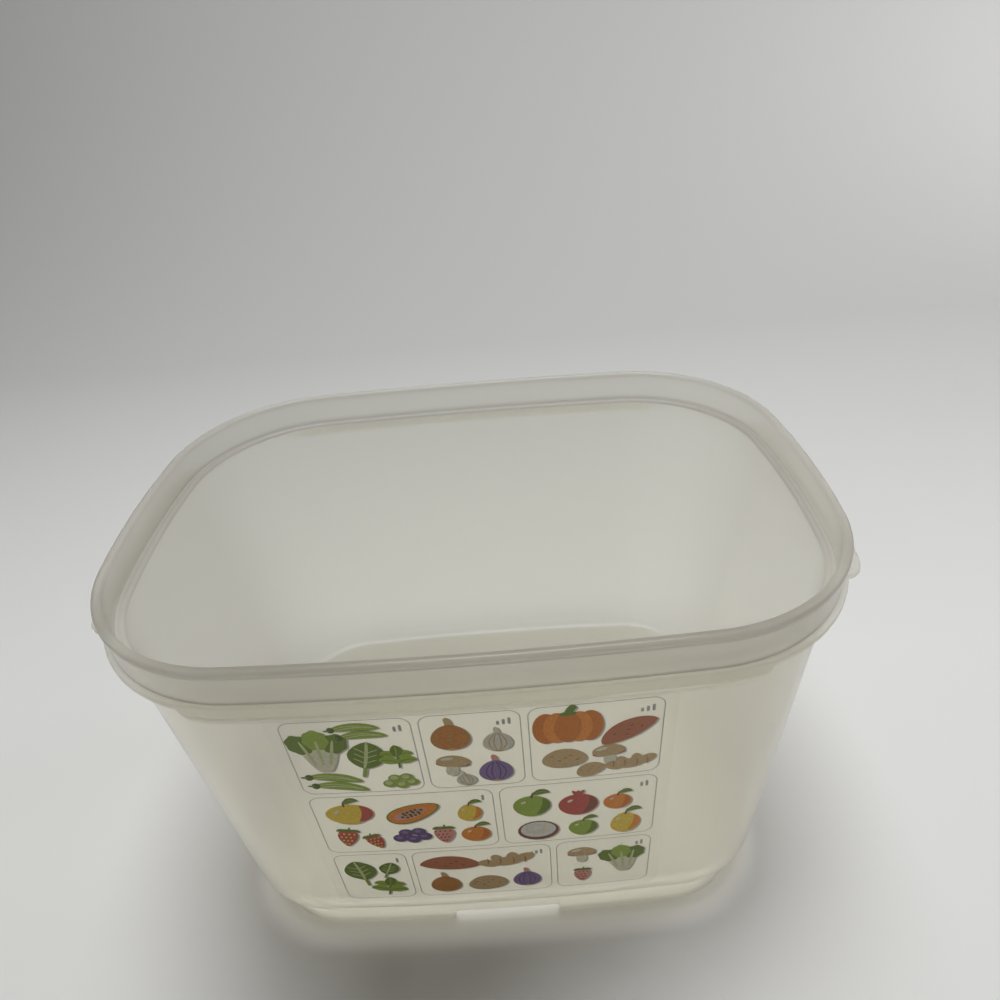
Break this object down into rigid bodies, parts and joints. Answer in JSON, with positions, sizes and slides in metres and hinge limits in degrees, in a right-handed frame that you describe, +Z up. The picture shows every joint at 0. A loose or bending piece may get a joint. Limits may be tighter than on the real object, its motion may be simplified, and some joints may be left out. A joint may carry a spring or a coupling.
{
  "type": "produce keeper",
  "caption": "Open rounded-rectangular food storage tub in milky plastic with a lid-seating rim, drafted walls, a notched foot ring and a clear printed storage-guide label.",
  "frame": {"origin": "on the table under the middle of the tub", "axes": "+X along the long side to the right of the labelled front, +Y from the front to the back, +Z up"},
  "size_m": [0.1956, 0.1334, 0.1285],
  "materials": {
    "polypropylene": "satin",
    "label_film": "gloss"
  },
  "bodies": {
    "root": {"tub": "polypropylene", "chart_label": "label_film"}
  },
  "joints": []
}
